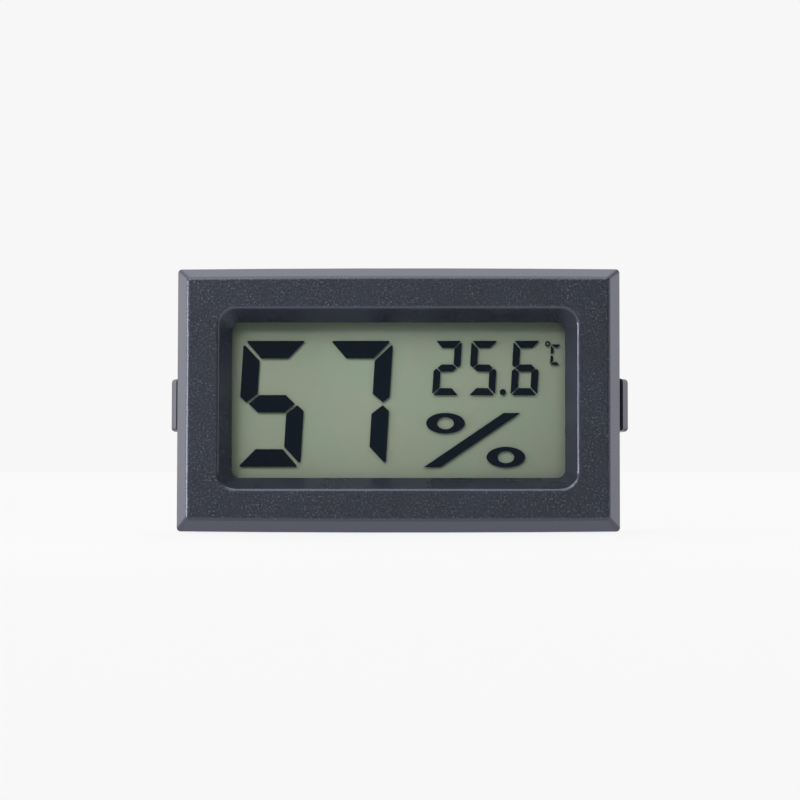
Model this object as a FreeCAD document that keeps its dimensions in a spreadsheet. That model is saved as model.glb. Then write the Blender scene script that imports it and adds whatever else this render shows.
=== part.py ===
import FreeCAD, Part

import math
import os
import re

import Sketcher

# Digital panel hygrometer for a rectangular cut-out, in millimetres.
# Origin: middle of the seat behind the bezel. +X right seen from the front, +Y into the panel, +Z up.

doc = FreeCAD.newDocument("PanelHygrometer")
sheet = doc.addObject("Spreadsheet::Sheet", "Dimensions")

sizes = (
    # bezel and body
    ("bezel_width", 48.0, "overall, side to side"),
    ("bezel_height", 28.8, "overall, at the middle of the long edges"),
    ("bezel_crown", 0.12, "how far each long edge bows out"),
    ("bezel_thickness", 2.2, "seat to front face"),
    ("bezel_rim", 0.2, "straight edge next to the seat"),
    ("bezel_slope", 1.15, "width of the sloping border"),
    ("face_border", 3.35, "flat land between slope and recess"),
    ("recess_corner", 1.9, "corner radius of the recess"),
    ("recess_run", 1.42, "how far the recess wall slopes in"),
    ("recess_round", 0.4, "rounded edge of the recess"),
    ("window_corner", 0.9, "corner radius of the window"),
    ("window_lip", 0.4, "straight lip at the window"),
    ("seat_width", 1.1, "bezel overhang that seats on the panel"),
    ("body_corner", 0.8, "outer corner radius of the body"),
    ("body_wall", 1.2, "side wall"),
    ("corner_round", 0.42, "outer corners of the bezel"),
    ("face_round", 0.45, "edge between the slope and the face"),
    ("edge_round", 0.12, "moulded outer edges"),
    # screws and their bosses
    ("boss_radius", 1.3, "screw boss"),
    ("boss_inset", 1.05, "boss centre from the inner wall faces"),
    ("screw_radius", 0.7, "shank"),
    ("screw_reach", 5.0, "shank length below the cover"),
    ("screw_head_radius", 1.2, "head"),
    ("screw_head_height", 0.8, "head"),
    ("screw_slot", 0.3, "width of the cross recess"),
    ("fit_clearance", 0.03, "between pieces that locate each other"),
    ("loose_clearance", 0.15, "between pieces that only pass each other"),
    # display stack
    ("gasket_thickness", 0.3, "foam frame"),
    ("window_margin", 0.5, "front film past the window"),
    ("polariser_thickness", 0.15, "front film"),
    ("glass_thickness", 0.55, "each glass plate"),
    ("glass_gap", 0.05, "between the glass plates"),
    ("glass_ledge", 2.3, "strip of the front glass past the rear glass"),
    ("seal_width", 0.7, "glue line between the plates"),
    ("reflector_thickness", 0.25, "rear film with its reflector"),
    ("reflector_inset", 0.2, "rear film inside the rear glass"),
    ("electrode_room", 0.01, "between the lit segments and the rear glass"),
    ("strip_thickness", 1.5, "elastomer contact strip"),
    ("strip_length", 36.0, "elastomer contact strip"),
    ("carrier_depth", 1.9, "frame between display and board"),
    ("carrier_rail", 0.85, "carrier wall on each side of a strip"),
    # figures of the display
    ("figure_height", 13.76, "large figures"),
    ("figure_width", 7.0, "large figures"),
    ("figure_pitch", 9.28, "from one large figure to the next"),
    ("figure_bar", 1.92, "large bars"),
    ("figure_slit", 0.27, "gap between large bars"),
    ("small_height", 5.95, "small figures"),
    ("small_width", 2.9, "small figures"),
    ("small_pitch", 3.94, "from one small figure to the next"),
    ("point_room", 0.64, "extra pitch at the decimal point"),
    ("small_bar", 0.78, "small bars"),
    ("small_slit", 0.12, "gap between small bars"),
    ("figure_slant", 3.3, "degrees"),
    ("figure_margin", 0.4, "first large figure from the window's left edge"),
    ("figure_drop", 0.3, "large figures below the window's middle"),
    ("small_margin", 14.44, "small figures' left end from the window's right edge"),
    ("small_drop", 1.9, "small figures below the window's upper edge"),
    ("point_radius", 0.34, "decimal point"),
    ("point_shift", -0.18, "decimal point from its figure's place"),
    ("degree_radius", 0.3, "degree ring"),
    ("degree_hole", 0.15, "radius inside the degree ring"),
    ("degree_margin", 1.87, "degree ring from the window's right edge"),
    ("degree_drop", 2.24, "degree ring below the window's upper edge"),
    ("letter_width", 1.08, "letter after the degree ring"),
    ("letter_height", 2.24, "letter after the degree ring"),
    ("letter_bar", 0.32, "letter after the degree ring"),
    ("letter_slit", 0.14, "gap between the letter's bars"),
    ("letter_margin", 1.63, "letter's left side from the window's right edge"),
    ("letter_drop", 4.54, "letter's foot below the window's upper edge"),
    ("slash_width", 1.82, "percent stroke, along the line"),
    ("slash_height", 5.93, "percent stroke"),
    ("slash_run", 8.7, "how far the percent stroke leans"),
    ("slash_margin", 15.37, "percent stroke's foot from the window's right edge"),
    ("slash_lift", 1.25, "percent stroke above the window's lower edge"),
    ("ring_half_width", 2.1, "percent rings"),
    ("ring_half_height", 1.13, "percent rings"),
    ("ring_hole_width", 0.9, "half the opening of a percent ring"),
    ("ring_hole_height", 0.66, "half the opening of a percent ring"),
    ("left_ring_margin", 12.98, "left percent ring from the window's right edge"),
    ("left_ring_drop", 2.42, "left percent ring below the window's middle"),
    ("right_ring_margin", 6.42, "right percent ring from the window's right edge"),
    ("right_ring_drop", 6.12, "right percent ring below the window's middle"),
    # circuit board and what it carries
    ("board_thickness", 1.0, "circuit board"),
    ("board_gap", 0.4, "board edge to case wall"),
    ("blob_radius", 4.2, "controller under its epoxy dome"),
    ("blob_height", 1.1, "controller under its epoxy dome"),
    ("can_radius", 1.0, "timing crystal"),
    ("can_length", 6.0, "timing crystal"),
    ("lead_radius", 0.2, "round leads"),
    ("sensor_width", 10.0, "humidity element"),
    ("sensor_height", 5.0, "humidity element"),
    ("sensor_thickness", 0.6, "humidity element"),
    ("sensor_standoff", 4.8, "board to humidity element"),
    ("bead_radius", 1.1, "thermistor"),
    ("bead_length", 1.8, "thermistor"),
    ("bead_standoff", 3.7, "board to thermistor"),
    ("sensor_shift", 2.0, "humidity element, right of the middle"),
    ("sensor_pin_pitch", 2.54, "between its leads"),
    ("sensor_pin_width", 0.5, "flat leads"),
    ("sensor_pin_thickness", 0.25, "flat leads"),
    ("bead_shift", 9.5, "thermistor, left of the middle"),
    ("bead_pin_pitch", 1.0, "between its leads"),
    ("crystal_shift", 17.0, "timing crystal, left of the middle"),
    ("resistor_shift", 16.8, "column of resistors, right of the middle"),
    ("capacitor_shift", 19.0, "column of capacitors, right of the middle"),
    ("chip_drop", 9.0, "lowest chips below the middle"),
    ("chip_pitch", 2.0, "from one chip to the next"),
    ("chip_length", 1.6, "small chip"),
    ("chip_width", 0.8, "small chip"),
    ("resistor_height", 0.45, "small chip"),
    ("capacitor_height", 0.8, "small chip"),
    # cells, their bay and its door
    ("cell_diameter", 11.6, "button cell"),
    ("cell_height", 5.4, "button cell"),
    ("cell_step", 0.6, "cap above the can"),
    ("cap_diameter", 9.4, "negative cap"),
    ("gasket_ring", 0.5, "sealing ring round the cap"),
    ("cell_gap", 0.4, "between the two cells"),
    ("cell_round", 0.4, "rolled edges of a cell"),
    ("bay_play", 0.3, "radial room round a cell"),
    ("bay_wall", 0.8, "side walls of the bay"),
    ("bay_floor", 0.7, "floor of the bay"),
    ("bay_flat", 0.2, "straight part of the bay's ends, each way from the middle"),
    ("bay_lift", 1.5, "bay above the bottom wall"),
    ("contact_thickness", 0.2, "sheet metal contacts"),
    ("contact_dimple", 0.1, "raised spot that touches the cell"),
    ("contact_width", 3.2, "sheet metal contacts"),
    ("contact_reach", 4.0, "floor contact, from its leg to past the cell's middle"),
    ("bridge_play", 0.05, "bridge contact to cell"),
    ("door_thickness", 1.4, "battery door"),
    ("door_overlap", 1.5, "door past the bay on each side"),
    ("tongue_width", 0.7, "door tongue"),
    ("tongue_thickness", 0.55, "door tongue"),
    ("slide_clearance", 0.1, "door in its rails"),
    ("cover_thickness", 2.0, "rear cover"),
    ("cover_lip_depth", 0.9, "lip inside the body"),
    ("cover_lip_wall", 0.9, "lip inside the body"),
    ("vent_width", 1.1, "air slot"),
    ("vent_pitch", 2.5, "air slot"),
    ("vent_margin", 1.4, "air slot to door and to wall"),
    ("vent_count", 7.0, "air slots"),
    ("grip_width", 8.0, "finger grip in the door"),
    ("grip_height", 3.6, "finger grip in the door"),
    ("grip_depth", 0.35, "finger grip in the door"),
    ("grip_corner", 0.6, "finger grip in the door"),
    ("rib_length", 6.0, "ribs of the finger grip"),
    ("rib_width", 0.35, "ribs of the finger grip"),
    ("rib_drop", 0.08, "ribs below the door's face"),
    # snap clips
    ("clip_height", 5.8, "clip, along the short side"),
    ("clip_reach", 2.13, "clip tip past the body"),
    ("clip_ramp", 0.9, "how far the nose slopes back from its front"),
    ("clip_slant", 0.55, "how far its front stands inside its tip"),
    ("clip_web", 0.82, "outer wall of the clip"),
    ("clip_return", 0.57, "upper and lower wall of the clip"),
    ("clip_round", 0.4, "outer long edges of the clip"),
    ("clip_inset", 0.2, "free edges of the clip inside the body's side"),
    ("clip_taper", 2.0, "nose length before the arm narrows"),
    ("clip_waist", 0.1, "arm inside its root bead"),
    ("clip_solid", 1.3, "filled end next to the root"),
    ("clip_tip", 5.1, "panel room between seat and clip"),
    ("clip_root_radius", 0.45, "root bead"),
    ("clip_root_inset", 0.9, "root bead from the end of the body"),
    ("clip_play", 0.35, "slot round the clip"),
)
for row, (alias, value, note) in enumerate(sizes, start=1):
    sheet.set(f"A{row}", str(value))
    sheet.setAlias(f"A{row}", alias)
    sheet.set(f"B{row}", note)
doc.recompute()

aliases = {alias for alias, value, note in sizes}
word = re.compile(r"[a-z][a-z_]*")


def formula(text):
    """Point every name in a formula at its cell in the sheet."""
    def cell(match):
        name = match.group(0)
        return f"Dimensions.{name}" if name in aliases else name
    return word.sub(cell, text)


def number(text):
    """Present value of a formula, in millimetres."""
    return float(sheet.evalExpression(formula(text)))


# Places along Y, from the seat to the rear, each resting on the one before.
glass_front = "gasket_thickness"
gap_front = f"({glass_front} + glass_thickness)"
rear_glass_front = f"({gap_front} + glass_gap)"
reflector_front = f"({rear_glass_front} + glass_thickness)"
carrier_front = f"({reflector_front} + reflector_thickness)"
board_front = f"({carrier_front} + carrier_depth)"
board_back = f"({board_front} + board_thickness)"
bay_outside = f"({board_back} + loose_clearance)"
bay_inside = f"({bay_outside} + bay_floor)"
cell_front = f"({bay_inside} + contact_thickness + contact_dimple)"
cell_back = f"({cell_front} + cell_height)"
bridge_front = f"({cell_back} + bridge_play + contact_dimple)"
door_front = f"({bridge_front} + contact_thickness + slide_clearance)"
rear = f"({door_front} + door_thickness)"
cover_front = f"({rear} - cover_thickness)"

# Sizes across, from the outside in.
body_width = "(bezel_width - 2 * seat_width)"
body_height = "(bezel_height - 2 * seat_width)"
inner_width = f"({body_width} - 2 * body_wall)"
inner_height = f"({body_height} - 2 * body_wall)"
inner_corner = "(body_corner / 2)"
face_width = "(bezel_width - 2 * bezel_slope)"
face_height = "(bezel_height - 2 * bezel_slope)"
recess_width = f"({face_width} - 2 * face_border)"
recess_height = f"({face_height} - 2 * face_border)"
window_width = f"({recess_width} - 2 * recess_run)"
window_height = f"({recess_height} - 2 * recess_run)"
boss_x = f"({inner_width} / 2 - boss_inset)"
boss_z = f"({inner_height} / 2 - boss_inset)"
glass_width = f"(2 * ({boss_x} - boss_radius - loose_clearance))"
glass_height = f"({inner_height} - 2 * board_gap)"
rear_glass_height = f"({glass_height} - 2 * glass_ledge)"
strip_z = f"({rear_glass_height} / 2 + loose_clearance + strip_thickness / 2)"
bay_height = "(cell_diameter + 2 * bay_play)"
cell_pitch = "(cell_diameter + cell_gap)"
bay_width = f"({cell_pitch} + cell_diameter + 2 * bay_play)"
bay_z = f"(bay_lift + bay_wall + {bay_height} / 2 - {inner_height} / 2)"
door_width = f"({bay_width} + 2 * door_overlap)"
door_top = f"({bay_z} + {bay_height} / 2 + door_overlap)"
door_bottom = f"(-{body_height} / 2)"
root_x = f"({body_width} / 2 - body_wall / 2)"
root_y = f"({cover_front} - clip_root_inset)"
corners = tuple((f"({sx}{boss_x})", f"({sz}{boss_z})") for sx in ("", "-") for sz in ("", "-"))


def bind(thing, prop, text):
    thing.setExpression(prop, formula(text))


def new_body(label):
    body = doc.addObject("PartDesign::Body", label)
    body.Label = label
    body.AllowCompound = True
    return body


def sketch_at(body, name, depth="0", role="XZ_Plane"):
    """Sketch across the object at a depth along +Y (or on another origin plane)."""
    sketch = body.newObject("Sketcher::SketchObject", name)
    plane = [item for item in body.Origin.OriginFeatures if item.Role == role][0]
    sketch.AttachmentSupport = [(plane, "")]
    sketch.MapMode = "FlatFace"
    sign = "-" if role == "XZ_Plane" else ""
    bind(sketch, "AttachmentOffset.Base.z", f"{sign}({depth})")
    return sketch


def fix_point(sketch, geometry, end, x, z):
    """Hold one point of a sketch by its two distances from the origin."""
    for kind, text in (("DistanceX", x), ("DistanceY", z)):
        index = sketch.addConstraint(Sketcher.Constraint(kind, -1, 1, geometry, end, number(text)))
        sketch.setExpression(f"Constraints[{index}]", formula(text))


def draw_polygon(sketch, points):
    spots = [FreeCAD.Vector(number(x), number(z), 0) for x, z in points]
    lines = [
        sketch.addGeometry(Part.LineSegment(spot, spots[(index + 1) % len(spots)]))
        for index, spot in enumerate(spots)
    ]
    for index, line in enumerate(lines):
        following = lines[(index + 1) % len(lines)]
        sketch.addConstraint(Sketcher.Constraint("Coincident", line, 2, following, 1))
    for line, (x, z) in zip(lines, points):
        fix_point(sketch, line, 1, x, z)


def draw_rectangle(sketch, width, height, x="0", z="0"):
    left, right = f"{x} - {width} / 2", f"{x} + {width} / 2"
    low, high = f"{z} - {height} / 2", f"{z} + {height} / 2"
    draw_polygon(sketch, [(left, low), (right, low), (right, high), (left, high)])


def draw_circle(sketch, radius, x="0", z="0"):
    centre = FreeCAD.Vector(number(x), number(z), 0)
    circle = sketch.addGeometry(Part.Circle(centre, FreeCAD.Vector(0, 0, 1), number(radius)))
    fix_point(sketch, circle, 3, x, z)
    index = sketch.addConstraint(Sketcher.Constraint("Radius", circle, number(radius)))
    sketch.setExpression(f"Constraints[{index}]", formula(radius))


def draw_rounded(sketch, width, height, radius, x="0", z="0"):
    """Rectangle with round corners: four lines, their ends held, and four arcs between them."""
    half_x, half_z = f"{width} / 2", f"{height} / 2"
    stops = []
    for sx, sz, along_x in ((1, -1, 0), (1, 1, 0), (1, 1, 1), (-1, 1, 1),
                            (-1, 1, 0), (-1, -1, 0), (-1, -1, 1), (1, -1, 1)):
        cut_x = radius if along_x else "0"
        cut_z = "0" if along_x else radius
        stops.append((f"{x} + {sx} * ({half_x} - {cut_x})", f"{z} + {sz} * ({half_z} - {cut_z})"))
    spots = [FreeCAD.Vector(number(a), number(b), 0) for a, b in stops]
    lines = [sketch.addGeometry(Part.LineSegment(spots[i], spots[i + 1])) for i in range(0, 8, 2)]
    for index, line in enumerate(lines):
        fix_point(sketch, line, 1, *stops[2 * index])
        fix_point(sketch, line, 2, *stops[2 * index + 1])
    for index in range(4):
        start, finish = spots[2 * index + 1], spots[(2 * index + 2) % 8]
        size = number(radius)
        turn = math.radians(90 * index)
        along = FreeCAD.Vector(math.cos(turn), math.sin(turn), 0)
        centre = start - along * size
        middle = centre + (start + finish - centre * 2).normalize() * size
        arc = sketch.addGeometry(Part.Arc(start, middle, finish))
        sketch.addConstraint(Sketcher.Constraint("Coincident", arc, 1, lines[index], 2))
        sketch.addConstraint(Sketcher.Constraint("Coincident", arc, 2, lines[(index + 1) % 4], 1))
        held = sketch.addConstraint(Sketcher.Constraint("Radius", arc, size))
        sketch.setExpression(f"Constraints[{held}]", formula(radius))


def draw_crowned(sketch, width, height, crown, corner):
    """Upright sides, long edges that bow out by the crown, and round corners tangent to both."""
    bow = f"((({width} / 2) ^ 2 + {crown} ^ 2) / (2 * {crown}))"
    swing = f"sqrt(({bow} - {corner}) ^ 2 - ({width} / 2 - {corner}) ^ 2)"
    bow_centre = f"({bow} - {height} / 2)"
    side_x, side_z = f"({width} / 2)", f"({swing} - {bow_centre})"
    edge_x = f"(({width} / 2 - {corner}) * {bow} / ({bow} - {corner}))"
    edge_z = f"({swing} * {bow} / ({bow} - {corner}) - {bow_centre})"
    stops = [(f"-{side_x}", side_z), (f"-{side_x}", f"-{side_z}"), (f"-{edge_x}", f"-{edge_z}"),
             (edge_x, f"-{edge_z}"), (side_x, f"-{side_z}"), (side_x, side_z), (edge_x, edge_z),
             (f"-{edge_x}", edge_z)]
    spots = [FreeCAD.Vector(number(x), number(z), 0) for x, z in stops]
    x, z, size = number(side_x) - number(corner), number(side_z), number(corner)
    reach = size * math.sqrt(0.5)
    ring = []
    for index, mark in enumerate(("side", (-1, -1), -1, (1, -1), "side", (1, 1), 1, (-1, 1))):
        start, finish = spots[index], spots[(index + 1) % 8]
        if mark == "side":
            ring.append(sketch.addGeometry(Part.LineSegment(start, finish)))
            continue
        if isinstance(mark, tuple):
            middle = FreeCAD.Vector(mark[0] * (x + reach), mark[1] * (z + reach), 0)
            radius = corner
        else:
            middle = FreeCAD.Vector(0, mark * number(height) / 2, 0)
            radius = bow
        arc = sketch.addGeometry(Part.Arc(start, middle, finish))
        ring.append(arc)
        held = sketch.addConstraint(Sketcher.Constraint("Radius", arc, number(radius)))
        sketch.setExpression(f"Constraints[{held}]", formula(radius))
    for index, edge in enumerate(ring):
        sketch.addConstraint(Sketcher.Constraint("Coincident", edge, 2, ring[(index + 1) % 8], 1))
        fix_point(sketch, edge, 1, *stops[index])


def pad(body, sketch, length, back=True, both=False):
    """Grow a sketch towards +Y (back), towards -Y, or evenly both ways."""
    feature = body.newObject("PartDesign::Pad", "Pad")
    feature.Profile = sketch
    feature.Reversed = back
    feature.SideType = "Symmetric" if both else "One side"
    bind(feature, "Length", length)
    body.Tip = feature
    doc.recompute()
    return feature


def pocket(body, sketch, length, back=True, both=False):
    """Cut a sketch towards +Y (back), towards -Y, or evenly both ways; it must remove material."""
    before = body.Shape.Volume
    feature = body.newObject("PartDesign::Pocket", "Pocket")
    feature.Profile = sketch
    feature.Reversed = not back
    feature.SideType = "Symmetric" if both else "One side"
    bind(feature, "Length", length)
    body.Tip = feature
    doc.recompute()
    if not body.Shape.Volume < before:
        raise RuntimeError(f"{body.Label}: {sketch.Label} cut nothing")
    return feature


def loft(body, kind, first, second):
    feature = body.newObject(f"PartDesign::{kind}", kind)
    feature.Profile = first
    feature.Sections = [second]
    feature.Ruled = True
    body.Tip = feature
    doc.recompute()
    return feature


def fillet(body, radius, wanted):
    """Round the edges of the body that the test picks."""
    base = body.Tip
    names = [f"Edge{i}" for i, edge in enumerate(base.Shape.Edges, start=1) if wanted(edge)]
    if not names:
        raise RuntimeError(f"{body.Label}: no edge to round")
    feature = body.newObject("PartDesign::Fillet", "Fillet")
    feature.Base = (base, names)
    bind(feature, "Radius", radius)
    body.Tip = feature
    doc.recompute()
    return feature


def lies_at(edge, depth):
    """True for an edge that lies wholly in the plane at one depth along Y."""
    box = edge.BoundBox
    return abs(box.YMin - depth) < 1e-4 and abs(box.YMax - depth) < 1e-4


def make_front_housing():
    body = new_body("front_housing")
    rim = sketch_at(body, "RimOutline")
    draw_crowned(rim, "bezel_width", "bezel_height", "bezel_crown", "corner_round")
    pad(body, rim, "bezel_rim", back=False)
    slope_start = sketch_at(body, "SlopeStart", "-bezel_rim")
    draw_crowned(slope_start, "bezel_width", "bezel_height", "bezel_crown", "corner_round")
    slope_end = sketch_at(body, "SlopeEnd", "-bezel_thickness")
    draw_crowned(slope_end, face_width, face_height, "bezel_crown", "corner_round")
    loft(body, "AdditiveLoft", slope_start, slope_end)
    face = -number("bezel_thickness")
    fillet(body, "face_round", lambda edge: lies_at(edge, face))
    sleeve = sketch_at(body, "SleeveOutline")
    draw_rounded(sleeve, body_width, body_height, "body_corner")
    pad(body, sleeve, cover_front)
    cavity = sketch_at(body, "CavityOutline")
    draw_rounded(cavity, inner_width, inner_height, inner_corner)
    pocket(body, cavity, cover_front)
    recess_start = sketch_at(body, "RecessStart", "-bezel_thickness")
    draw_rounded(recess_start, recess_width, recess_height, "recess_corner")
    recess_end = sketch_at(body, "RecessEnd", "-window_lip")
    draw_rounded(recess_end, window_width, window_height, "window_corner")
    loft(body, "SubtractiveLoft", recess_start, recess_end)
    reach = number(recess_width) / 2 + 0.01
    fillet(body, "recess_round", lambda edge: lies_at(edge, face) and edge.BoundBox.XMax < reach
           and edge.BoundBox.XMin > -reach)
    window = sketch_at(body, "WindowOutline", "-window_lip")
    draw_rounded(window, window_width, window_height, "window_corner")
    pocket(body, window, "window_lip")
    lip = -number("window_lip")
    fillet(body, "edge_round", lambda edge: lies_at(edge, lip))
    bosses = sketch_at(body, "BossCircles")
    for x, z in corners:
        draw_circle(bosses, "boss_radius", x, z)
    pad(body, bosses, cover_front)
    pilots = sketch_at(body, "PilotHoles", cover_front)
    for x, z in corners:
        draw_circle(pilots, "screw_radius + fit_clearance", x, z)
    pocket(body, pilots, "screw_reach + loose_clearance", back=False)
    slots = sketch_at(body, "ClipSlots", "0", "YZ_Plane")
    slot_front = "clip_tip - 2 * clip_root_radius"
    slot_half = "(clip_height / 2 + clip_play)"
    draw_polygon(slots, [(slot_front, f"-{slot_half}"), (root_y, f"-{slot_half}"),
                         (root_y, slot_half), (slot_front, slot_half)])
    pocket(body, slots, "2 * bezel_width", both=True)
    grooves = sketch_at(body, "RootGrooves", "0", "XY_Plane")
    for side in ("", "-"):
        draw_circle(grooves, "clip_root_radius + fit_clearance", f"{side}{root_x}", root_y)
    pocket(body, grooves, f"2 * {slot_half}", both=True)


def make_snap_clip(label, side):
    """Sprung channel-shaped arm; side is +1 for the right one and -1 for the left one."""
    body = new_body(label)
    tip_x = f"({body_width} / 2 + clip_reach)"
    nose_y = "(clip_tip + clip_ramp)"
    root_out = f"({root_x} + clip_root_radius - fit_clearance)"
    return_x = f"({body_width} / 2 - clip_inset)"
    outline = [
        (root_out, root_y),
        (f"{root_x} - clip_root_radius + clip_waist", root_y),
        (return_x, "clip_tip + clip_taper"),
        (return_x, "clip_tip"),
        (f"{tip_x} - clip_slant", "clip_tip"),
        (tip_x, nose_y),
    ]
    profile = sketch_at(body, "ArmProfile", "0", "XY_Plane")
    draw_polygon(profile, [(f"{side} * ({x})", y) for x, y in outline])
    pad(body, profile, "clip_height", back=False, both=True)
    bead = sketch_at(body, "RootBead", "0", "XY_Plane")
    draw_circle(bead, "clip_root_radius", f"{side} * {root_x}", root_y)
    pad(body, bead, "clip_height", back=False, both=True)
    hollow_end = f"({root_y} - clip_solid)"
    lean = f"(({tip_x} - {root_out}) / ({root_y} - {nose_y}))"
    hollow = [
        (f"{root_x} - 2", "clip_tip - 1"),
        (f"{tip_x} - clip_web", "clip_tip - 1"),
        (f"{tip_x} - clip_web", nose_y),
        (f"{tip_x} - clip_web - {lean} * ({hollow_end} - {nose_y})", hollow_end),
        (f"{root_x} - 2", hollow_end),
    ]
    channel = sketch_at(body, "Channel", "0", "XY_Plane")
    draw_polygon(channel, [(f"{side} * ({x})", y) for x, y in hollow])
    pocket(body, channel, "clip_height - 2 * clip_return", both=True)
    top = number("clip_height") / 2
    outer = number(root_out)

    def outer_long_edge(edge):
        box = edge.BoundBox
        reach = max(abs(box.XMin), abs(box.XMax))
        return box.ZLength < 1e-4 and abs(abs(box.ZMin) - top) < 1e-4 and reach > outer and box.YLength > 0.3
    fillet(body, "clip_round", lambda edge: outer_long_edge(edge) and
           min(abs(edge.BoundBox.XMin), abs(edge.BoundBox.XMax)) > outer - 0.01)


def make_rear_cover():
    body = new_body("rear_cover")
    plate = sketch_at(body, "PlateOutline", cover_front)
    draw_rounded(plate, body_width, body_height, "body_corner")
    pad(body, plate, "cover_thickness")
    back = number(rear)
    fillet(body, "2 * edge_round", lambda edge: lies_at(edge, back))
    lip_width = f"({inner_width} - 2 * slide_clearance)"
    lip_height = f"({inner_height} - 2 * slide_clearance)"
    lip = sketch_at(body, "LipOutline", cover_front)
    draw_rounded(lip, lip_width, lip_height, inner_corner)
    draw_rectangle(lip, f"({lip_width} - 2 * cover_lip_wall)", f"({lip_height} - 2 * cover_lip_wall)")
    pad(body, lip, "cover_lip_depth", back=False)
    bay = sketch_at(body, "BayOutside", bay_outside)
    draw_rounded(bay, f"({bay_width} + 2 * bay_wall)", f"({bay_height} + 2 * bay_wall)",
                 f"({bay_height} / 2 - bay_flat)", "0", bay_z)
    pad(body, bay, f"{cover_front} - {bay_outside}")
    inside = sketch_at(body, "BayInside", bay_inside)
    draw_rounded(inside, bay_width, bay_height, f"({bay_height} / 2 - bay_flat)", "0", bay_z)
    pocket(body, inside, f"{rear} - {bay_inside}")
    top = f"({door_top} + slide_clearance)"
    beyond = f"({door_bottom} - 1)"

    def channel(name, depth, half, length, upper):
        sketch = sketch_at(body, name, depth)
        draw_polygon(sketch, [(f"-{half}", beyond), (half, beyond), (half, upper), (f"-{half}", upper)])
        pocket(body, sketch, length)
    channel("DoorOpening", f"{door_front} - slide_clearance",
            f"({door_width} / 2 + slide_clearance)", "door_thickness + slide_clearance", top)
    channel("TongueSlots", f"{door_front} - slide_clearance",
            f"({door_width} / 2 + tongue_width + slide_clearance)",
            "tongue_thickness + 2 * slide_clearance", top)
    channel("BridgePath", cover_front, f"({cell_pitch} / 2 + contact_reach)",
            f"{door_front} - {cover_front}", bay_z)
    vents = sketch_at(body, "AirSlots", cover_front)
    vent_low = f"({door_top} + vent_margin)"
    vent_high = f"({inner_height} / 2 - vent_margin)"
    count = int(number("vent_count"))
    for index in range(count):
        draw_rounded(vents, "vent_width", f"({vent_high} - {vent_low})", "(0.4 * vent_width)",
                     f"{index - (count - 1) / 2} * vent_pitch", f"({vent_high} + {vent_low}) / 2")
    pocket(body, vents, "cover_thickness")
    for name, depth, radius, length, back_way in (
            ("ScrewHoles", cover_front, "screw_radius + slide_clearance", "cover_thickness", True),
            ("HeadRecesses", rear, "screw_head_radius + slide_clearance",
             "screw_head_height + loose_clearance", False),
            ("BossNotches", cover_front, "boss_radius + loose_clearance", "cover_lip_depth", False)):
        sketch = sketch_at(body, name, depth)
        for x, z in corners:
            draw_circle(sketch, radius, x, z)
        pocket(body, sketch, length, back=back_way)
    notches = sketch_at(body, "ClipNotches", cover_front)
    for side in ("", "-"):
        draw_rectangle(notches, "2 * cover_lip_wall", "clip_height + 4 * clip_play",
                       f"{side}{inner_width} / 2")
    pocket(body, notches, "cover_lip_depth", back=False)
    legs = sketch_at(body, "ContactSlots", bay_inside)
    for side in ("", "-"):
        draw_rectangle(legs, "contact_thickness + 2 * fit_clearance", "contact_width + 2 * fit_clearance",
                       f"{side}({cell_pitch} / 2 + contact_reach - contact_thickness / 2)", bay_z)
    pocket(body, legs, "bay_floor", back=False)


def make_battery_door():
    body = new_body("battery_door")
    middle = f"({door_top} + {door_bottom}) / 2"
    height = f"({door_top} - {door_bottom})"
    plate = sketch_at(body, "DoorOutline", door_front)
    draw_rectangle(plate, door_width, height, "0", middle)
    pad(body, plate, "door_thickness")
    back = number(rear)
    fillet(body, "edge_round", lambda edge: lies_at(edge, back))
    tongues = sketch_at(body, "Tongues", door_front)
    draw_rectangle(tongues, f"({door_width} + 2 * tongue_width)", height, "0", middle)
    pad(body, tongues, "tongue_thickness")
    grip = sketch_at(body, "FingerGrip", rear)
    grip_z = f"({door_bottom} + grip_height)"
    draw_rounded(grip, "grip_width", "grip_height", "grip_corner", "0", grip_z)
    pocket(body, grip, "grip_depth", back=False)
    ribs = sketch_at(body, "GripRibs", f"{rear} - grip_depth")
    for step in (-1, 0, 1):
        draw_rectangle(ribs, "rib_length", "rib_width", "0", f"{grip_z} + {step} * grip_height / 4")
    pad(body, ribs, "grip_depth - rib_drop")


def make_case_screws():
    body = new_body("case_screws")
    seat = f"({rear} - screw_head_height - loose_clearance)"
    heads = sketch_at(body, "Heads", seat)
    shanks = sketch_at(body, "Shanks", seat)
    for x, z in corners:
        draw_circle(heads, "screw_head_radius", x, z)
        draw_circle(shanks, "screw_radius", x, z)
    pad(body, heads, "screw_head_height")
    top = number(f"{seat} + screw_head_height")
    fillet(body, "0.2 * screw_head_radius", lambda edge: lies_at(edge, top))
    pad(body, shanks, f"{seat} - {cover_front} + screw_reach", back=False)
    for name, wide, high in (("CrossBars", "1.3 * screw_head_radius", "screw_slot"),
                             ("CrossPosts", "screw_slot", "1.3 * screw_head_radius")):
        cross = sketch_at(body, name, f"{seat} + screw_head_height")
        for x, z in corners:
            draw_rectangle(cross, f"({wide})", f"({high})", x, z)
        pocket(body, cross, "0.6 * screw_head_height", back=False)


def make_plate(label, width, height, front, thickness, corner=None, hole=None):
    """Flat piece across the object, with round corners or a rectangular opening where given."""
    body = new_body(label)
    outline = sketch_at(body, "Outline", front)
    if corner:
        draw_rounded(outline, width, height, corner)
    else:
        draw_rectangle(outline, width, height)
    if hole:
        draw_rectangle(outline, *hole)
    pad(body, outline, thickness)
    return body


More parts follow.
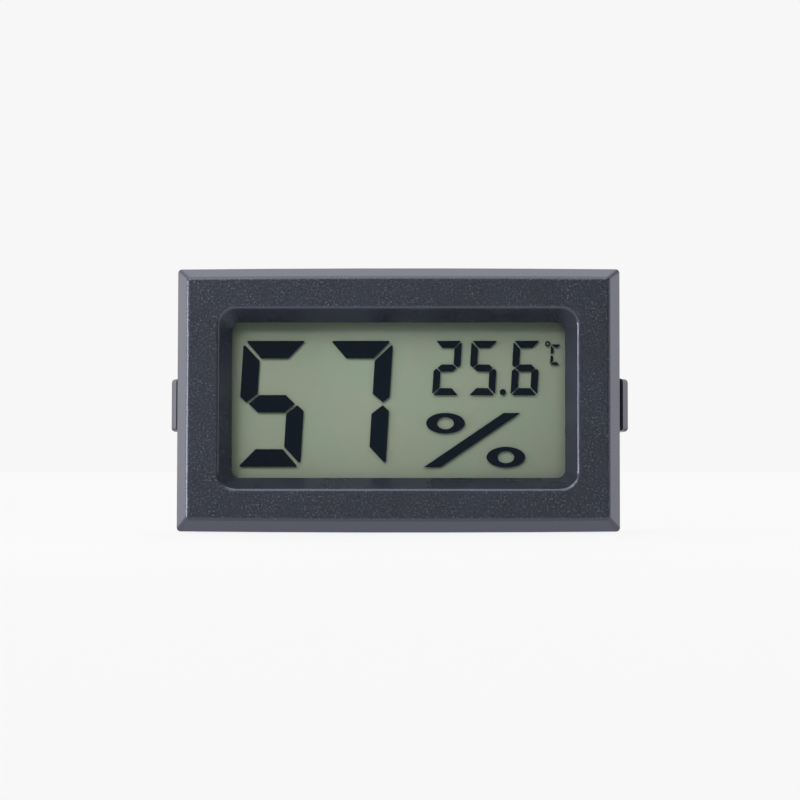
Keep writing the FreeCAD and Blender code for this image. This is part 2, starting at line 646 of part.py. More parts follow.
def make_display():
    film_width = f"({window_width} + 2 * window_margin)"
    film_height = f"({window_height} + 2 * window_margin)"
    hole = (f"({film_width} + 2 * fit_clearance)", f"({film_height} + 2 * fit_clearance)")
    make_plate("lcd_gasket", glass_width, glass_height, "0", "gasket_thickness", hole=hole)
    make_plate("lcd_front_polariser", film_width, film_height,
               "gasket_thickness - polariser_thickness", "polariser_thickness")
    make_plate("lcd_front_glass", glass_width, glass_height, glass_front, "glass_thickness")
    inner_seal = (f"({glass_width} - 2 * seal_width)", f"({rear_glass_height} - 2 * seal_width)")
    make_plate("lcd_edge_seal", glass_width, rear_glass_height, gap_front, "glass_gap", hole=inner_seal)
    make_plate("lcd_rear_glass", glass_width, rear_glass_height, rear_glass_front, "glass_thickness")
    make_plate("lcd_reflector", f"({glass_width} - 2 * fit_clearance)",
               f"({rear_glass_height} - 2 * reflector_inset)", reflector_front, "reflector_thickness")
    slot_height = "(strip_thickness + 2 * fit_clearance)"
    opening = f"(2 * ({strip_z} - {slot_height} / 2 - carrier_rail))"
    carrier_height = f"(2 * ({strip_z} + {slot_height} / 2 + carrier_rail))"
    carrier = new_body("lcd_carrier")
    outline = sketch_at(carrier, "CarrierOutline", carrier_front)
    draw_rectangle(outline, f"({glass_width} - 2 * fit_clearance)", carrier_height)
    draw_rectangle(outline, f"({glass_width} - 6 * carrier_rail)", opening)
    for side in ("", "-"):
        draw_rectangle(outline, "(strip_length + 2 * fit_clearance)", slot_height, "0", f"{side}{strip_z}")
    pad(carrier, outline, "carrier_depth")
    for label, side in (("upper_contact_strip", ""), ("lower_contact_strip", "-")):
        strip = new_body(label)
        outline = sketch_at(strip, "StripOutline", gap_front)
        draw_rectangle(outline, "strip_length", "strip_thickness", "0", f"{side}{strip_z}")
        pad(strip, outline, f"{board_front} - {gap_front}")


def bars_of_figure(width, height, bar, slit):
    """Seven bars of an upright figure, lower left corner at the origin, as lists of corners."""
    side = 0.98 * bar
    cut = 0.25 * bar
    nick = 0.06 * bar
    half = height / 2
    gap = slit / 2
    top = [(cut, height), (width - cut, height), (width - cut + nick, height - nick),
           (width - side - gap, height - bar), (side + gap, height - bar), (cut - nick, height - nick)]
    upper = [(0, height - 0.28 * bar), (0.45 * cut, height - 0.19 * bar - gap), (side, height - bar - slit),
             (side, half + bar / 2 + gap), (0.38 * side, half + 1.1 * gap), (0, half + 0.4 * bar)]
    near, far = 0.45 * side + gap, width - 0.45 * side - gap
    shoulder = 0.56 * bar
    middle = [(near, half), (near + shoulder, half + bar / 2), (far - shoulder, half + bar / 2),
              (far, half), (far - shoulder, half - bar / 2), (near + shoulder, half - bar / 2)]

    def flip_x(points):
        return [(width - x, z) for x, z in points]

    def flip_z(points):
        return [(x, height - z) for x, z in points]
    return {"a": top, "b": flip_x(upper), "c": flip_z(flip_x(upper)), "d": flip_z(top),
            "e": flip_z(upper), "f": upper, "g": middle}


def make_segments():
    """Lit figures of the display: electrodes between the glass plates, leaning to the right."""
    front = number(gap_front)
    deep = number("glass_gap - electrode_room")
    lean = math.tan(math.radians(number("figure_slant")))
    solids = []

    def add(points, x, z, leaning=True):
        tilt = lean if leaning else 0
        corners3 = [FreeCAD.Vector(x + px + tilt * pz, front, z + pz) for px, pz in points]
        face = Part.Face(Part.makePolygon(corners3 + corners3[:1]))
        solids.append(face.extrude(FreeCAD.Vector(0, deep, 0)))

    def add_figure(lit, x, z, *shape):
        bars = bars_of_figure(*shape)
        for name in lit:
            add(bars[name], x, z)

    def disc(radius_x, radius_z, x, z):
        centre = FreeCAD.Vector(x, front, z)
        outline = Part.Circle(centre, FreeCAD.Vector(0, 1, 0), radius_x)
        if radius_x > radius_z:
            outline = Part.Ellipse(centre + FreeCAD.Vector(radius_x, 0, 0),
                                   centre + FreeCAD.Vector(0, 0, radius_z), centre)
        face = Part.Face(Part.Wire(outline.toShape()))
        return face.extrude(FreeCAD.Vector(0, deep, 0))

    right, top = number(window_width) / 2, number(window_height) / 2
    height = number("figure_height")
    low = -height / 2 - number("figure_drop")
    large = (number("figure_width"), height, number("figure_bar"), number("figure_slit"))
    left = number("figure_margin") - right
    add_figure("afgcd", left, low, *large)
    add_figure("abc", left + number("figure_pitch"), low, *large)
    small_height = number("small_height")
    small = (number("small_width"), small_height, number("small_bar"), number("small_slit"))
    small_low = top - number("small_drop") - small_height
    pitch = number("small_pitch")
    first = right - number("small_margin")
    add_figure("abged", first, small_low, *small)
    add_figure("afgcd", first + pitch, small_low, *small)
    add_figure("afgcde", first + 2 * pitch + number("point_room"), small_low, *small)
    point = number("point_radius")
    solids.append(disc(point, point, first + 2 * pitch + number("point_shift"), small_low + point))
    ring, hole = number("degree_radius"), number("degree_hole")
    degree_place = (right - number("degree_margin"), top - number("degree_drop"))
    solids.append(disc(ring, ring, *degree_place).cut(disc(hole, hole, *degree_place)))
    letter = [number(f"letter_{part}") for part in ("width", "height", "bar", "slit")]
    add_figure("afed", right - number("letter_margin"), top - number("letter_drop"), *letter)
    wide, high, run = number("slash_width"), number("slash_height"), number("slash_run")
    add([(0, 0), (wide, 0), (wide + run, high), (run, high)],
        right - number("slash_margin"), number("slash_lift") - top, False)
    outer = (number("ring_half_width"), number("ring_half_height"))
    inner = (number("ring_hole_width"), number("ring_hole_height"))
    for name in ("left", "right"):
        place = (right - number(f"{name}_ring_margin"), -number(f"{name}_ring_drop"))
        solids.append(disc(*outer, *place).cut(disc(*inner, *place)))
    figures = doc.addObject("Part::Feature", "lcd_segments")
    figures.Label = "lcd_segments"
    figures.Shape = Part.makeCompound(solids)


def make_circuit_board():
    body = make_plate("circuit_board", f"({inner_width} - 2 * board_gap)",
                      f"({inner_height} - 2 * board_gap)", board_front, "board_thickness")
    notches = sketch_at(body, "BossNotches", board_front)
    for x, z in corners:
        draw_circle(notches, "boss_radius + loose_clearance", x, z)
    pocket(body, notches, "board_thickness")
    dome = new_body("controller_blob")
    profile = sketch_at(dome, "DomeProfile", "0", "XY_Plane")
    base_y, top_y, reach = number(board_front), number(f"{board_front} - blob_height"), number("blob_radius")
    radius = "(blob_radius ^ 2 + blob_height ^ 2) / (2 * blob_height)"
    foot, crest, rim = (FreeCAD.Vector(x, y, 0) for x, y in ((0, base_y), (0, top_y), (reach, base_y)))
    centre = crest + FreeCAD.Vector(0, number(radius), 0)
    middle = centre + ((crest + rim) / 2 - centre).normalize() * number(radius)
    axis = profile.addGeometry(Part.LineSegment(foot, crest))
    arc = profile.addGeometry(Part.Arc(crest, middle, rim))
    base = profile.addGeometry(Part.LineSegment(rim, foot))
    for one, other in ((axis, arc), (arc, base), (base, axis)):
        profile.addConstraint(Sketcher.Constraint("Coincident", one, 2, other, 1))
    fix_point(profile, axis, 1, "0", board_front)
    fix_point(profile, axis, 2, "0", f"{board_front} - blob_height")
    fix_point(profile, base, 1, "blob_radius", board_front)
    held = profile.addConstraint(Sketcher.Constraint("Radius", arc, number(radius)))
    profile.setExpression(f"Constraints[{held}]", formula(radius))
    spin = dome.newObject("PartDesign::Revolution", "Dome")
    spin.Profile = profile
    spin.ReferenceAxis = (profile, ["V_Axis"])
    dome.Tip = spin
    doc.recompute()


def make_sensors():
    bay_top = f"({bay_z} + {bay_height} / 2 + bay_wall)"
    sensor_z = f"(({bay_top} + {inner_height} / 2) / 2)"
    element = new_body("humidity_sensor")
    outline = sketch_at(element, "Element", f"{board_back} + sensor_standoff")
    draw_rectangle(outline, "sensor_width", "sensor_height", "sensor_shift", sensor_z)
    pad(element, outline, "sensor_thickness")
    pins = new_body("humidity_sensor_leads")
    outline = sketch_at(pins, "Leads", board_back)
    for side in ("-", "+"):
        draw_rectangle(outline, "sensor_pin_width", "sensor_pin_thickness",
                       f"sensor_shift {side} sensor_pin_pitch / 2",
                       f"({sensor_z} - sensor_height / 2 + sensor_pin_width)")
    pad(pins, outline, "sensor_standoff")
    bead_x = "(-bead_shift)"
    bead = new_body("thermistor")
    outline = sketch_at(bead, "Bead", f"{board_back} + bead_standoff")
    draw_circle(outline, "bead_radius", bead_x, sensor_z)
    pad(bead, outline, "bead_length")
    fillet(bead, "0.6 * bead_radius", lambda edge: edge.BoundBox.YLength < 1e-4)
    wires = new_body("thermistor_leads")
    outline = sketch_at(wires, "Leads", board_back)
    for side in ("-", "+"):
        draw_circle(outline, "lead_radius", f"{bead_x} {side} bead_pin_pitch / 2", sensor_z)
    pad(wires, outline, "bead_standoff")


def make_small_components():
    can = new_body("timing_crystal")
    outline = sketch_at(can, "Can", "0", "XY_Plane")
    draw_circle(outline, "can_radius", "-crystal_shift", f"{board_back} + can_radius")
    pad(can, outline, "can_length", back=False, both=True)
    fillet(can, "0.3 * can_radius", lambda edge: edge.BoundBox.ZLength < 1e-4)
    for label, column, count, high in (("chip_resistors", "resistor_shift", 5, "resistor_height"),
                                       ("chip_capacitors", "capacitor_shift", 3, "capacitor_height")):
        chips = new_body(label)
        outline = sketch_at(chips, "Chips", board_back)
        for index in range(count):
            draw_rectangle(outline, "chip_length", "chip_width", column, f"{index} * chip_pitch - chip_drop")
        pad(chips, outline, high)


def make_cells():
    """Two button cells side by side: the left one has its cap to the front, the right one to the rear."""
    cans = new_body("cell_cans")
    caps = new_body("cell_caps")
    rings = new_body("cell_gaskets")
    left, right = f"(-{cell_pitch} / 2)", f"({cell_pitch} / 2)"
    for name, x, can_front in (("Left", left, f"({cell_front} + cell_step)"), ("Right", right, cell_front)):
        outline = sketch_at(cans, f"{name}Can", can_front)
        draw_circle(outline, "cell_diameter / 2", x, bay_z)
        pad(cans, outline, "cell_height - cell_step")
    fillet(cans, "cell_round", lambda edge: edge.BoundBox.YLength < 1e-4 and edge.BoundBox.XLength > 1)
    for name, x, cap_front in (("Left", left, cell_front), ("Right", right, f"({cell_back} - cell_step)")):
        outline = sketch_at(caps, f"{name}Cap", cap_front)
        draw_circle(outline, "cap_diameter / 2", x, bay_z)
        pad(caps, outline, "cell_step")
    for name, x, front in (("Left", left, f"({cell_front} + 0.6 * cell_step)"),
                           ("Right", right, f"({cell_back} - cell_step)")):
        outline = sketch_at(rings, f"{name}Ring", front)
        draw_circle(outline, "cap_diameter / 2 + gasket_ring", x, bay_z)
        draw_circle(outline, "cap_diameter / 2", x, bay_z)
        pad(rings, outline, "0.4 * cell_step")


def make_contacts():
    """Two floor contacts with legs to the board, and the bridge that the door carries."""
    for label, side in (("negative_contact", -1), ("positive_contact", 1)):
        contact = new_body(label)
        middle = f"({side} * {cell_pitch} / 2)"
        strap = sketch_at(contact, "Strap", bay_inside)
        draw_rectangle(strap, "(contact_reach + contact_width / 2)", "contact_width",
                       f"{side} * ({cell_pitch} / 2 + contact_reach / 2 - contact_width / 4)", bay_z)
        pad(contact, strap, "contact_thickness")
        leg = sketch_at(contact, "Leg", board_back)
        draw_rectangle(leg, "contact_thickness", "contact_width",
                       f"{side} * ({cell_pitch} / 2 + contact_reach - contact_thickness / 2)", bay_z)
        pad(contact, leg, f"{bay_inside} - {board_back}")
        dimple = sketch_at(contact, "Dimple", f"{bay_inside} + contact_thickness")
        draw_circle(dimple, "contact_width / 4", middle, bay_z)
        pad(contact, dimple, "contact_dimple")
    bridge = new_body("bridge_contact")
    strap = sketch_at(bridge, "Strap", bridge_front)
    draw_rectangle(strap, f"({cell_pitch} + contact_width)", "contact_width", "0", bay_z)
    pad(bridge, strap, f"{door_front} - {bridge_front}")
    dimples = sketch_at(bridge, "Dimples", bridge_front)
    for side in ("", "-"):
        draw_circle(dimples, "contact_width / 4", f"{side}{cell_pitch} / 2", bay_z)
    pad(bridge, dimples, "contact_dimple", back=False)


make_front_housing()
make_snap_clip("left_snap_clip", -1)
make_snap_clip("right_snap_clip", 1)
make_rear_cover()
make_battery_door()
make_case_screws()
make_display()
make_segments()
make_circuit_board()
make_sensors()
make_small_components()
make_cells()
make_contacts()
doc.recompute()

pieces = [item for item in doc.Objects if item.TypeId == "PartDesign::Body" or item.Name == "lcd_segments"]
for item in doc.Objects:
    if "Invalid" in item.State or "Error" in item.State:
        raise RuntimeError(f"{item.Label} failed: {item.State}")
for piece in pieces:
    if piece.Shape.isNull() or not piece.Shape.isValid():
        raise RuntimeError(f"{piece.Label} has no valid shape")

os.makedirs("parts", exist_ok=True)
for piece in pieces:
    piece.Shape.exportStep(f"parts/{piece.Label}.step")
    box = piece.Shape.BoundBox
    print(f"{piece.Label:24s} solids {len(piece.Shape.Solids):2d}  volume {piece.Shape.Volume:9.3f}",
          f"x {box.XMin:7.2f} {box.XMax:7.2f}  y {box.YMin:6.2f} {box.YMax:6.2f}",
          f"z {box.ZMin:7.2f} {box.ZMax:7.2f}")
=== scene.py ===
import math

import bpy
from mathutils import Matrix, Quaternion, Vector


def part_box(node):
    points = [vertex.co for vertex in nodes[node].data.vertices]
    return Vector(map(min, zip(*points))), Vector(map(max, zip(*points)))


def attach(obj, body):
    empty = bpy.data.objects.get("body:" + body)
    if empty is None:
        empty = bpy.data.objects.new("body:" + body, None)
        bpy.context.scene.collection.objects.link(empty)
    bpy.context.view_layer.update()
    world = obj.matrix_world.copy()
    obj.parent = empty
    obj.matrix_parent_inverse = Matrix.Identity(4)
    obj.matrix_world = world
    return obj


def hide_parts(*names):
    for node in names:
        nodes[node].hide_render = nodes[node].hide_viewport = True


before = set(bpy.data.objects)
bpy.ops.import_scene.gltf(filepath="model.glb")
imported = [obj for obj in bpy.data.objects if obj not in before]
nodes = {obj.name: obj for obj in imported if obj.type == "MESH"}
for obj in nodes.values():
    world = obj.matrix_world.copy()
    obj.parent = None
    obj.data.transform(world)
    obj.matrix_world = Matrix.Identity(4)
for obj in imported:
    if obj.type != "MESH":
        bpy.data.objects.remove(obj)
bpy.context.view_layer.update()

mm = 0.001
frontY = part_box("front_housing")[0].y     # the bezel's front face
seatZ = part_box("front_housing")[0].z      # lowest edge of the bezel
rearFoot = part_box("rear_cover")           # its lower rear edge is the second foot
print("frame loaded:", len(nodes), "CAD pieces")

noiseBand = (0.3, 0.7)        # nearly all of a noise lies between these
middleBand = (0.35, 0.65)     # and this is its busy middle
fineGrain = {"detail": 3.0, "rough": 0.6}    # crisp noise for moulded, rolled and brushed surfaces
softGrain = {"detail": 3.0, "rough": 0.55}


def linear(hexText, alpha=1.0):
    # sRGB hex to linear
    values = [int(hexText[i:i + 2], 16) / 255 for i in (1, 3, 5)]
    return [v / 12.92 if v <= 0.04045 else ((v + 0.055) / 1.055) ** 2.4 for v in values] + [alpha]


def addNode(tree, kind, settings=None, links=None):
    # one node, its settings (sockets by name or number, else properties) and what feeds it
    node = tree.nodes.new(kind)
    for key, value in (settings or {}).items():
        if isinstance(key, int) or key in node.inputs:
            node.inputs[key].default_value = value
        else:
            setattr(node, key, value)
    for key, source in (links or {}).items():
        tree.links.new(source, node.inputs[key])
    return node


def newMaterial(name, settings):
    # a material with its shader ready and its tree empty otherwise
    material = bpy.data.materials.new(name)
    material.use_nodes = True
    tree = material.node_tree
    tree.nodes.clear()
    shader = addNode(tree, "ShaderNodeBsdfPrincipled", settings)
    addNode(tree, "ShaderNodeOutputMaterial", links={"Surface": shader.outputs[0]})
    place = addNode(tree, "ShaderNodeTexCoord").outputs["Object"]
    return material, tree, shader, place


def grain(tree, place, size, detail=2.0, rough=0.5, stretch=None):
    # noise whose lumps are about size metres across, stretched along an axis where asked
    if stretch:
        place = addNode(tree, "ShaderNodeMapping", {"Scale": stretch}, {"Vector": place}).outputs[0]
    noise = addNode(tree, "ShaderNodeTexNoise",
                    {"Scale": 1 / size, "Detail": detail, "Roughness": rough}, {"Vector": place})
    return noise.outputs[0]


def remap(tree, value, band, target=(0.0, 1.0)):
    # band becomes target, and what lies past its ends is held there
    node = addNode(tree, "ShaderNodeMapRange",
                   {"From Min": band[0], "From Max": band[1], "To Min": target[0], "To Max": target[1]},
                   {"Value": value})
    return node.outputs[0]


def times(tree, one, other):
    return addNode(tree, "ShaderNodeMath", {"operation": "MULTIPLY"}, {0: one, 1: other}).outputs[0]


def blendColours(tree, factor, first, second):
    # each colour is a hex text or what another node gives
    node = addNode(tree, "ShaderNodeMix", {"data_type": "RGBA"})
    tree.links.new(factor, node.inputs[0])
    for socket, colour in ((node.inputs[6], first), (node.inputs[7], second)):
        if isinstance(colour, str):
            socket.default_value = linear(colour)
        else:
            tree.links.new(colour, socket)
    return node.outputs[2]


def bump(tree, shader, height, depth):
    node = addNode(tree, "ShaderNodeBump", {"Distance": depth, "Strength": 1.0}, {"Height": height})
    tree.links.new(node.outputs[0], shader.inputs["Normal"])


def paint(material, *names):
    for name in names:
        for holder in nodes[name].material_slots:
            holder.material = material


housingAbs = {
    "gloss": {"IOR": 1.6, "Specular IOR Level": 1.0},
    "dark": "#181c25", "light": "#1f242f",                  # blue-grey pigment
    "peakHighlight": "#6d7180", "pitShade": "#0b0d12",                    # painted highlight on the grain's tops and painted shade in its hollows
    "peakBand": (0.54, 0.69),                               # how high the grain stands where its tops get the painted highlight
    "pitBand": (0.48, 0.32), "pitCover": (0.0, 0.8),        # how low where its hollows get the painted shade, and how much
    "sheen": "#d7d9f8", "faceSheen": "#d6dbec",             # the pigment tints the gloss too
    "polished": (0.26, 0.30), "textured": (0.25, 0.46),     # roughness of the slopes and of the face
    "faceEnds": 0.05 * mm, "faceStarts": 0.015 * mm,        # behind the front: the grain fades in between
    "grain": 0.20 * mm,                                     # about twice its real size, so that it shows
    "speck": 0.22 * mm,                                     # the lumps that stand out of the grain
    "grainDepth": 0.035 * mm,
    "patch": 1.6 * mm, "patchCover": (0.35, 1.0),           # the grain comes out stronger in some places
    "flow": 6 * mm, "flowBand": (0.35, 0.7),                # slow change in tone across a moulding
}


def makeHousingAbs():
    # satin ABS, spark-eroded on the flat of the face only: dull and speckled there, with painted highlights
    # on the grain's tops and painted shade in its hollows, while the polished slopes and recess give a soft
    # even sheen
    look = housingAbs
    material, tree, shader, place = newMaterial("housingSatinAbs", look["gloss"])
    depth = addNode(tree, "ShaderNodeSeparateXYZ", links={0: place}).outputs[1]
    face = remap(tree, depth, (frontY + look["faceEnds"], frontY + look["faceStarts"]))
    fine = grain(tree, place, look["grain"], **fineGrain)
    speck = grain(tree, place, look["speck"], **fineGrain)
    flow = grain(tree, place, look["flow"])
    patch = remap(tree, grain(tree, place, look["patch"]), middleBand, look["patchCover"])
    patch = times(tree, patch, face)
    # painted light on the grain: its tops are lightened as if they caught the light, and its hollows are
    # darkened as shade
    peakHighlightMask = times(tree, remap(tree, speck, look["peakBand"]), patch)
    pitShadeMask = times(tree, remap(tree, speck, look["pitBand"], look["pitCover"]), patch)
    colour = blendColours(tree, remap(tree, flow, look["flowBand"]), look["dark"], look["light"])
    colour = blendColours(tree, peakHighlightMask, colour, look["peakHighlight"])
    colour = blendColours(tree, pitShadeMask, colour, look["pitShade"])
    tree.links.new(colour, shader.inputs["Base Color"])
    tint = blendColours(tree, face, look["sheen"], look["faceSheen"])
    tree.links.new(tint, shader.inputs["Specular Tint"])
    polished = remap(tree, flow, noiseBand, look["polished"])
    textured = remap(tree, fine, noiseBand, look["textured"])
    roughness = addNode(tree, "ShaderNodeMix", {"data_type": "FLOAT"}, {0: face, 2: polished, 3: textured})
    tree.links.new(roughness.outputs[0], shader.inputs["Roughness"])
    bump(tree, shader, times(tree, speck, face), look["grainDepth"])
    return material


coverAbs = {
    "dark": "#1c2029", "light": "#252a35",
    "grain": 0.16 * mm, "grainDepth": 0.03 * mm,
    "drift": 5 * mm,                                        # slow change in tone
    "coverRoughness": (0.42, 0.6), "doorRoughness": (0.38, 0.56),   # the door is a little smoother
}


def makeCoverAbs(name, roughness):
    # the same ABS, lightly textured all over: a dull grey with no clear reflection
    material, tree, shader, place = newMaterial(name, {"IOR": 1.53})
    fine = grain(tree, place, coverAbs["grain"], **fineGrain)
    slow = grain(tree, place, coverAbs["drift"])
    tree.links.new(blendColours(tree, slow, coverAbs["dark"], coverAbs["light"]), shader.inputs["Base Color"])
    tree.links.new(remap(tree, fine, noiseBand, roughness), shader.inputs["Roughness"])
    bump(tree, shader, fine, coverAbs["grainDepth"])
    return material


display = {
    "dull": {"Roughness": 0.7, "Specular IOR Level": 0.05},     # glass lies on it, so hardly any gloss
    "ground": "#abbaa1", "cool": "#a6baa2", "warm": "#b1b4a1",  # faint green and pink drift
    "drift": 5 * mm,
    "fleck": 0.12 * mm, "fleckStretch": (0.25, 1, 1),           # brushed from side to side
    "shade": "#3d423a",                                         # painted shade under the right and upper edges of the window, where the gasket's shadow falls on the foil
    "shadeMargin": 0.5 * mm, "shadeWidth": 1.1 * mm,
    "rightShade": 0.12, "upperShade": 0.15,
    "behind": 0.16 * mm,                                        # figures to ground
    "chamfer": 0.1 * mm,
    "figures": "#050d17", "figureEdge": "#09131e", "mottle": 0.6 * mm,
}
displayWindow = {
    "veil": 0.025,                              # how much of the haze covers what lies behind it
    "haze": "#4f6674", "hazeLight": "#58707e",
    "tooth": 0.08 * mm, "roughness": (0.34, 0.46),
    "bevel": 0.12 * mm,                         # ground edge of the glass
    "clear": 0.02 * mm,                         # room left in front of the figures
}
plateEdge = {"segments": 2, "smoothAngle": 40}  # how the edges of both display plates are ground


def makeReflector():
    # brushed foil behind the rear polariser: a grey-green ground with no shine, darkened by painted shade
    # along the right and upper edges
    material, tree, shader, place = newMaterial("reflectorFoil", display["dull"])
    drift = grain(tree, place, display["drift"], detail=1.0)
    fleck = grain(tree, place, display["fleck"], rough=0.6, stretch=display["fleckStretch"])
    colour = blendColours(tree, remap(tree, drift, middleBand), display["cool"], display["warm"])
    toned = blendColours(tree, remap(tree, fleck, noiseBand), colour, display["ground"])
    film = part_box("lcd_front_polariser")[1]
    spot = addNode(tree, "ShaderNodeSeparateXYZ", links={0: place})
    # painted shade: the ground darkens over shadeWidth towards the right and upper edges of the window
    for axis, rim, depth in ((0, film.x, display["rightShade"]), (2, film.z, display["upperShade"])):
        edge = rim - display["shadeMargin"]
        shade = remap(tree, spot.outputs[axis], (edge - display["shadeWidth"], edge), (0.0, depth))
        toned = blendColours(tree, shade, toned, display["shade"])
    tree.links.new(toned, shader.inputs["Base Color"])
    return material


def makeWindowMaterial():
    # anti-glare polarising film on float glass: a thin grey-green veil with a dull sheen
    material, tree, shader, place = newMaterial(
        "antiGlareGlass", {"Alpha": displayWindow["veil"], "IOR": 1.5})
    tooth = grain(tree, place, displayWindow["tooth"], detail=1.0)
    tree.links.new(blendColours(tree, tooth, displayWindow["haze"], displayWindow["hazeLight"]),
                   shader.inputs["Base Color"])
    tree.links.new(remap(tree, tooth, noiseBand, displayWindow["roughness"]), shader.inputs["Roughness"])
    return material


def makeFigures():
    # lit liquid crystal between two glasses: near-black with a blue cast and hardly any gloss
    material, tree, shader, place = newMaterial("litFigures", display["dull"])
    mottle = grain(tree, place, display["mottle"])
    colour = blendColours(tree, mottle, display["figures"], display["figureEdge"])
    tree.links.new(colour, shader.inputs["Base Color"])
    return material


def makePlate(name, low, high, bevel):
    # a flat plate between two corners with its edges ground off
    bpy.ops.object.select_all(action="DESELECT")
    bpy.ops.mesh.primitive_cube_add(size=1, location=(low + high) / 2)
    plate = bpy.context.object
    plate.name = name
    plate.scale = high - low
    bpy.ops.object.transform_apply(location=True, rotation=True, scale=True)
    bpy.ops.object.mode_set(mode="EDIT")
    bpy.ops.mesh.select_all(action="SELECT")
    bpy.ops.mesh.bevel(offset=bevel, segments=plateEdge["segments"], affect="EDGES")
    bpy.ops.object.mode_set(mode="OBJECT")
    bpy.ops.object.shade_smooth_by_angle(angle=math.radians(plateEdge["smoothAngle"]))
    return plate


def makeDisplayWindow():
    # film and front glass as one laminated pane, just clear of the figures behind it
    low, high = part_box("lcd_front_polariser")[0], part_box("lcd_front_glass")[1]
    pane = makePlate("displayWindow", Vector((-high.x, low.y, -high.z)),
                     Vector((high.x, high.y - displayWindow["clear"], high.z)), displayWindow["bevel"])
    pane.data.materials.append(makeWindowMaterial())
    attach(pane, "case")
    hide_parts("lcd_front_polariser", "lcd_front_glass")


def makeDisplayGround():
    # rear glass and its reflector as one matte plate close behind the figures, so that
    # the shade they throw on it stays narrow
    figures, glass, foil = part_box("lcd_segments"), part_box("lcd_rear_glass"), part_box("lcd_reflector")
    front = figures[1].y + display["behind"]
    plate = makePlate("displayGround", Vector((glass[0].x, front, glass[0].z)),
                      Vector((glass[1].x, foil[1].y, glass[1].z)), display["chamfer"])
    plate.data.materials.append(makeReflector())
    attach(plate, "case")
    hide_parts("lcd_rear_glass", "lcd_reflector")


# plated and rolled metals: streaks along the rolling direction break up their reflections
metals = {
    "zincPlatedScrew": {                        # pale grey with a soft shine
        "dark": "#8f9092", "light": "#b9babb", "streak": 0.3 * mm, "stretch": (1, 0.1, 1),
        "roughness": (0.28, 0.42), "pieces": ["case_screws"]},
    "nickelPlatedCell": {                       # brighter, with a faint warmth
        "dark": "#a9a9a8", "light": "#c9c8c5", "streak": 0.25 * mm, "stretch": (1, 0.1, 1),
        "roughness": (0.2, 0.34), "pieces": ["cell_cans", "cell_caps"]},
    "nickelPlatedSheet": {                      # the same plating on rolled strip, a little yellow
        "dark": "#a8a59c", "light": "#c4c1b8", "streak": 0.2 * mm, "stretch": (0.1, 1, 1),
        "roughness": (0.25, 0.4), "pieces": ["negative_contact", "positive_contact", "bridge_contact"]},
    "tinnedWire": {                             # drawn and dipped: silvery, finely lined
        "dark": "#a5a6a6", "light": "#c6c6c4", "streak": 0.1 * mm, "stretch": (1, 0.2, 1),
        "roughness": (0.25, 0.4), "pieces": ["humidity_sensor_leads", "thermistor_leads", "timing_crystal"]},
}
metalDepth = 0.004 * mm


def makeMetal(name, look):
    material, tree, shader, place = newMaterial(name, {"Metallic": 1.0})
    streak = grain(tree, place, look["streak"], stretch=look["stretch"], **fineGrain)
    tree.links.new(blendColours(tree, streak, look["dark"], look["light"]), shader.inputs["Base Color"])
    tree.links.new(remap(tree, streak, noiseBand, look["roughness"]), shader.inputs["Roughness"])
    bump(tree, shader, streak, metalDepth)
    return material


# the other pieces inside: two close tones and a grain of their own size
insides = {
    "blackFoam": {                              # open cells, which swallow the light
        "dark": "#0d0d0e", "light": "#171718", "grain": 0.15 * mm,
        "roughness": (0.85, 0.95), "depth": 0.05 * mm, "pieces": ["lcd_gasket"]},
    "layeredElastomer": {                       # dark and pale rubber in turn, dull
        "dark": "#3c3d40", "light": "#8a8b8c", "grain": 0.2 * mm,
        "roughness": (0.6, 0.75), "depth": 0.01 * mm,
        "pieces": ["upper_contact_strip", "lower_contact_strip"]},
    "sealEpoxy": {                              # cured glue, smooth and brownish
        "dark": "#6d6a5e", "light": "#84806f", "grain": 0.4 * mm,
        "roughness": (0.4, 0.55), "depth": 0.005 * mm, "pieces": ["lcd_edge_seal"]},
    "naturalAbs": {                             # moulded without pigment: ivory, half dull
        "dark": "#c9c7bd", "light": "#d6d4ca", "grain": 0.4 * mm,
        "roughness": (0.45, 0.6), "depth": 0.01 * mm, "pieces": ["lcd_carrier"]},
    "greenSolderMask": {                        # lacquer over etched copper, glossy and uneven
        "dark": "#0e3a1c", "light": "#165028", "grain": 1.2 * mm,
        "roughness": (0.25, 0.4), "depth": 0.02 * mm, "pieces": ["circuit_board"]},
    "blackEpoxy": {                             # poured, so glossy with slow waves
        "dark": "#0b0b0c", "light": "#161617", "grain": 1.5 * mm,
        "roughness": (0.2, 0.3), "depth": 0.05 * mm, "pieces": ["controller_blob", "thermistor"]},
    "aluminaCeramic": {                         # fired: off-white, dry and very fine
        "dark": "#d9d8d0", "light": "#e6e5de", "grain": 0.2 * mm,
        "roughness": (0.5, 0.65), "depth": 0.01 * mm, "pieces": ["humidity_sensor"]},
    "chipBlack": {                              # glaze over the resistor film
        "dark": "#111113", "light": "#1b1b1d", "grain": 0.2 * mm,
        "roughness": (0.4, 0.5), "depth": 0.005 * mm, "pieces": ["chip_resistors"]},
    "chipTan": {                                # bare capacitor ceramic, tan
        "dark": "#7a5f43", "light": "#8d7152", "grain": 0.3 * mm,
        "roughness": (0.4, 0.5), "depth": 0.005 * mm, "pieces": ["chip_capacitors"]},
    "nylonRing": {                              # moulded nylon, nearly black and slightly waxy
        "dark": "#1b1b1b", "light": "#262626", "grain": 0.2 * mm,
        "roughness": (0.5, 0.6), "depth": 0.005 * mm, "pieces": ["cell_gaskets"]},
}


def makeInside(name, look):
    material, tree, shader, place = newMaterial(name, {"IOR": 1.5})
    lump = grain(tree, place, look["grain"], **softGrain)
    tree.links.new(blendColours(tree, lump, look["dark"], look["light"]), shader.inputs["Base Color"])
    tree.links.new(remap(tree, lump, noiseBand, look["roughness"]), shader.inputs["Roughness"])
    bump(tree, shader, lump, look["depth"])
    return material


